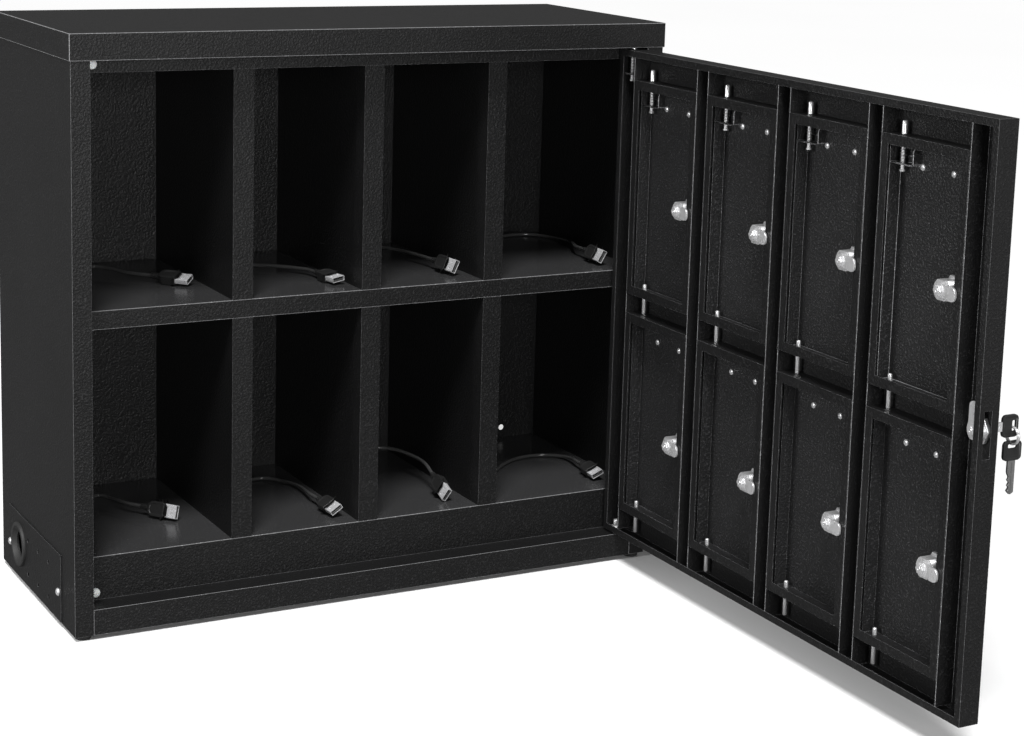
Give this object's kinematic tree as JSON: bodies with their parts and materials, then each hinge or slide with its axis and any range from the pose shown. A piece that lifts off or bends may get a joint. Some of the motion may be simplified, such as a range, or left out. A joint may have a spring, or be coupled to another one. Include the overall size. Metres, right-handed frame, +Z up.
{
  "type": "cell phone locker box",
  "caption": "Wall or desk steel cabinet for charging phones: bays with USB leads behind one large hinged door that carries small locking doors.",
  "frame": {"origin": "centre of the wall-hole pattern on the back panel's outer face", "axes": "+X to the cabinet's right as seen from the front, +Y out of its back, +Z up"},
  "size_m": [0.573, 0.718, 0.504],
  "materials": {
    "powder_coat": "semi-gloss fine-textured black powder coat",
    "black_rubber": "matt",
    "white_bumper": "soft white",
    "black_plastic": "fine matt grain",
    "lead_jacket": "satin",
    "plug_metal": "bright nickel plate",
    "nickel": "bright zinc or nickel plate",
    "spring_steel": "bright wire",
    "key_black": "black key bow"
  },
  "bodies": {
    "cabinet": {"lid": "powder_coat", "left_side_panel": "powder_coat", "right_side_panel": "powder_coat", "back_panel": "powder_coat", "base_pan": "powder_coat", "raised_floor": "powder_coat", "middle_shelf": "powder_coat", "dividers": "powder_coat", "top_header": "powder_coat", "service_cover": "powder_coat", "cover_screws": "nickel", "cable_grommets": "black_rubber", "rubber_feet": "black_rubber", "door_bumpers": "white_bumper", "usb_charger": "black_plastic", "usb_lead_1": "lead_jacket", "usb_lead_2": "lead_jacket", "usb_lead_3": "lead_jacket", "usb_lead_4": "lead_jacket", "usb_lead_5": "lead_jacket", "usb_lead_6": "lead_jacket", "usb_lead_7": "lead_jacket", "usb_lead_8": "lead_jacket", "plug_grips": "black_plastic", "plug_shells": "plug_metal"},
    "main_door": {"door_skin": "powder_coat", "door_stiles": "powder_coat", "opening_frames": "powder_coat", "hinge_pins": "nickel", "main_lock_body": "nickel", "main_pin_spring": "spring_steel"},
    "main_latch_pin": {"main_pin": "nickel"},
    "main_lock": {"main_lock_cam": "nickel", "main_key": "key_black"},
    "ring": {"key_ring": "spring_steel"},
    "spare": {"spare_key": "key_black"},
    "small_door_1": {"small_door_1": "powder_coat", "pin_spring_1": "spring_steel"},
    "cam_1": {"cam_1": "nickel"},
    "latch_pin_1": {"door_pin_1": "nickel"},
    "small_door_2": {"small_door_2": "powder_coat", "pin_spring_2": "spring_steel"},
    "cam_2": {"cam_2": "nickel"},
    "latch_pin_2": {"door_pin_2": "nickel"},
    "small_door_3": {"small_door_3": "powder_coat", "pin_spring_3": "spring_steel"},
    "cam_3": {"cam_3": "nickel"},
    "latch_pin_3": {"door_pin_3": "nickel"},
    "small_door_4": {"small_door_4": "powder_coat", "pin_spring_4": "spring_steel"},
    "cam_4": {"cam_4": "nickel"},
    "latch_pin_4": {"door_pin_4": "nickel"},
    "small_door_5": {"small_door_5": "powder_coat"},
    "cam_5": {"cam_5": "nickel"},
    "small_door_6": {"small_door_6": "powder_coat"},
    "cam_6": {"cam_6": "nickel"},
    "small_door_7": {"small_door_7": "powder_coat"},
    "cam_7": {"cam_7": "nickel"},
    "small_door_8": {"small_door_8": "powder_coat"},
    "cam_8": {"cam_8": "nickel"}
  },
  "joints": [
    {"name": "main_door_hinge", "type": "hinge", "parent": "cabinet", "child": "main_door", "pos_m": [0.2495, -0.211, 0], "axis": [0, 0, 1], "range_deg": [-90, 2]},
    {"name": "main_pin_slide", "type": "slide", "parent": "main_door", "child": "main_latch_pin", "axis": [0, 0, -1], "range_m": [0, 0.006], "stiffness_N_per_m": 400, "springref_m": -0.003, "deforming": ["main_pin_spring"]},
    {"name": "main_lock_turn", "type": "hinge", "parent": "main_door", "child": "main_lock", "pos_m": [0.2585, -0.703, -0.019], "axis": [1, 0, 0], "range_deg": [0, 90]},
    {"name": "key_ring_swing", "type": "hinge", "parent": "main_lock", "child": "ring", "pos_m": [0.286, -0.703, -0.0203], "axis": [0, 1, 0], "range_deg": [-20, 20]},
    {"name": "spare_key_swing", "type": "hinge", "parent": "ring", "child": "spare", "pos_m": [0.286, -0.703, -0.0268], "axis": [1, 0, 0], "range_deg": [-80, 80]},
    {"name": "small_door_hinge_1", "type": "hinge", "parent": "main_door", "child": "small_door_1", "pos_m": [0.2525, -0.2405, 0], "axis": [0, 0, 1], "range_deg": [0, 110]},
    {"name": "cam_turn_1", "type": "hinge", "parent": "small_door_1", "child": "cam_1", "pos_m": [0.2585, -0.306, 0.078], "axis": [1, 0, 0], "range_deg": [0, 90]},
    {"name": "pin_slide_1", "type": "slide", "parent": "small_door_1", "child": "latch_pin_1", "axis": [0, 0, -1], "range_m": [0, 0.0115], "stiffness_N_per_m": 250, "springref_m": -0.003, "deforming": ["pin_spring_1"]},
    {"name": "small_door_hinge_2", "type": "hinge", "parent": "main_door", "child": "small_door_2", "pos_m": [0.2525, -0.36, 0], "axis": [0, 0, 1], "range_deg": [0, 110]},
    {"name": "cam_turn_2", "type": "hinge", "parent": "small_door_2", "child": "cam_2", "pos_m": [0.2585, -0.4255, 0.078], "axis": [1, 0, 0], "range_deg": [0, 90]},
    {"name": "pin_slide_2", "type": "slide", "parent": "small_door_2", "child": "latch_pin_2", "axis": [0, 0, -1], "range_m": [0, 0.0115], "stiffness_N_per_m": 250, "springref_m": -0.003, "deforming": ["pin_spring_2"]},
    {"name": "small_door_hinge_3", "type": "hinge", "parent": "main_door", "child": "small_door_3", "pos_m": [0.2525, -0.4795, 0], "axis": [0, 0, 1], "range_deg": [0, 110]},
    {"name": "cam_turn_3", "type": "hinge", "parent": "small_door_3", "child": "cam_3", "pos_m": [0.2585, -0.545, 0.078], "axis": [1, 0, 0], "range_deg": [0, 90]},
    {"name": "pin_slide_3", "type": "slide", "parent": "small_door_3", "child": "latch_pin_3", "axis": [0, 0, -1], "range_m": [0, 0.0115], "stiffness_N_per_m": 250, "springref_m": -0.003, "deforming": ["pin_spring_3"]},
    {"name": "small_door_hinge_4", "type": "hinge", "parent": "main_door", "child": "small_door_4", "pos_m": [0.2525, -0.599, 0], "axis": [0, 0, 1], "range_deg": [0, 110]},
    {"name": "cam_turn_4", "type": "hinge", "parent": "small_door_4", "child": "cam_4", "pos_m": [0.2585, -0.6645, 0.078], "axis": [1, 0, 0], "range_deg": [0, 90]},
    {"name": "pin_slide_4", "type": "slide", "parent": "small_door_4", "child": "latch_pin_4", "axis": [0, 0, -1], "range_m": [0, 0.0115], "stiffness_N_per_m": 250, "springref_m": -0.003, "deforming": ["pin_spring_4"]},
    {"name": "small_door_hinge_5", "type": "hinge", "parent": "main_door", "child": "small_door_5", "pos_m": [0.2525, -0.2405, 0], "axis": [0, 0, 1], "range_deg": [0, 110]},
    {"name": "cam_turn_5", "type": "hinge", "parent": "small_door_5", "child": "cam_5", "pos_m": [0.2585, -0.306, -0.135], "axis": [1, 0, 0], "range_deg": [0, 90]},
    {"name": "small_door_hinge_6", "type": "hinge", "parent": "main_door", "child": "small_door_6", "pos_m": [0.2525, -0.36, 0], "axis": [0, 0, 1], "range_deg": [0, 110]},
    {"name": "cam_turn_6", "type": "hinge", "parent": "small_door_6", "child": "cam_6", "pos_m": [0.2585, -0.4255, -0.135], "axis": [1, 0, 0], "range_deg": [0, 90]},
    {"name": "small_door_hinge_7", "type": "hinge", "parent": "main_door", "child": "small_door_7", "pos_m": [0.2525, -0.4795, 0], "axis": [0, 0, 1], "range_deg": [0, 110]},
    {"name": "cam_turn_7", "type": "hinge", "parent": "small_door_7", "child": "cam_7", "pos_m": [0.2585, -0.545, -0.135], "axis": [1, 0, 0], "range_deg": [0, 90]},
    {"name": "small_door_hinge_8", "type": "hinge", "parent": "main_door", "child": "small_door_8", "pos_m": [0.2525, -0.599, 0], "axis": [0, 0, 1], "range_deg": [0, 110]},
    {"name": "cam_turn_8", "type": "hinge", "parent": "small_door_8", "child": "cam_8", "pos_m": [0.2585, -0.6645, -0.135], "axis": [1, 0, 0], "range_deg": [0, 90]}
  ]
}
